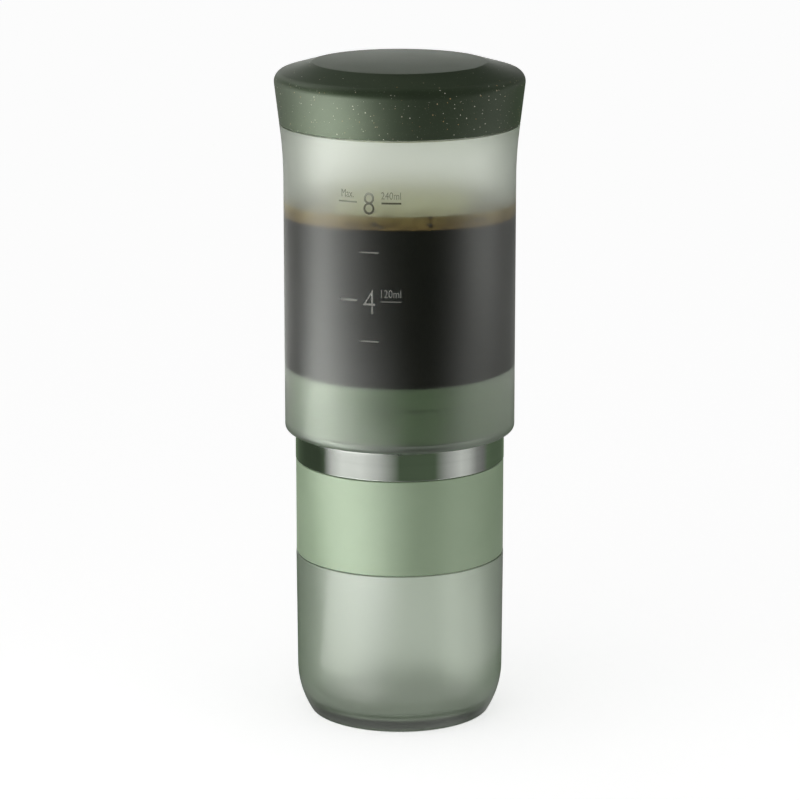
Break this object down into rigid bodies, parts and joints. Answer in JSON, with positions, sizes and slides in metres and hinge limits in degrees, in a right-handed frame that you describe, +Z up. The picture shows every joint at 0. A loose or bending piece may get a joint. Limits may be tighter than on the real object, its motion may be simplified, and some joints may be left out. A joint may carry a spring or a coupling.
{
  "type": "travel coffee press",
  "caption": "Travel coffee press: a frosted chamber with a screw lid slides down over a filter piston and pushes the coffee into the frosted, banded cup below.",
  "frame": {"origin": "middle of the base, on the surface that the press stands on", "axes": "+Z up along the press's axis, -Y towards the marked side of the chamber, +X to the right of it"},
  "size_m": [0.0822, 0.0822, 0.2198],
  "materials": {
    "cup_frost": "frosted translucent grey-green plastic",
    "chamber_frost": "frosted translucent plastic with printed marks",
    "sage_silicone": "matte sage silicone",
    "sage_plastic": "satin sage plastic",
    "pale_plastic": "satin off-white plastic",
    "clear_silicone": "milky silicone",
    "sleeve_steel": "polished stainless steel",
    "filter_steel": "etched stainless steel",
    "lid_green": "satin dark green plastic with pale specks"
  },
  "bodies": {
    "cup": {"cup": "cup_frost", "grip_band": "sage_silicone"},
    "neck_gasket": {"neck_gasket": "clear_silicone"},
    "press_head": {"head_core": "sage_plastic", "steel_sleeve": "sleeve_steel", "stem_seal": "clear_silicone", "drain_nut": "sage_plastic", "flow_valve": "clear_silicone", "piston_body": "sage_plastic", "piston_seal": "sage_silicone", "filter_disc": "filter_steel", "filter_gasket": "clear_silicone"},
    "filter_cap": {"filter_cap": "sage_plastic"},
    "chamber": {"brew_chamber": "chamber_frost"},
    "lid_seal": {"lid_seal": "clear_silicone"},
    "lid": {"lid_liner": "pale_plastic", "lid_cap": "lid_green"}
  },
  "joints": [
    {"name": "head_lift", "type": "slide", "parent": "cup", "child": "neck_gasket", "axis": [0, 0, 1], "range_m": [0, 0.009]},
    {"name": "head_turn", "type": "hinge", "parent": "neck_gasket", "child": "press_head", "pos_m": [0, 0, 0.0948], "axis": [0, 0, 1], "range_deg": [0, 540]},
    {"name": "filter_cap_turn", "type": "hinge", "parent": "press_head", "child": "filter_cap", "pos_m": [0, 0, 0.1152], "axis": [0, 0, 1], "range_deg": [0, 60]},
    {"name": "press", "type": "slide", "parent": "press_head", "child": "chamber", "axis": [0, 0, 1], "range_m": [-0.081, 0]},
    {"name": "lid_lift", "type": "slide", "parent": "chamber", "child": "lid_seal", "axis": [0, 0, 1], "range_m": [0, 0.009]},
    {"name": "lid_turn", "type": "hinge", "parent": "lid_seal", "child": "lid", "pos_m": [0, 0, 0.2087], "axis": [0, 0, 1], "range_deg": [0, 540]}
  ],
  "couplings": [
    {"joint": "head_lift", "follows": "head_turn", "m_per_rad": 0.00095493},
    {"joint": "lid_lift", "follows": "lid_turn", "m_per_rad": 0.00095493}
  ]
}
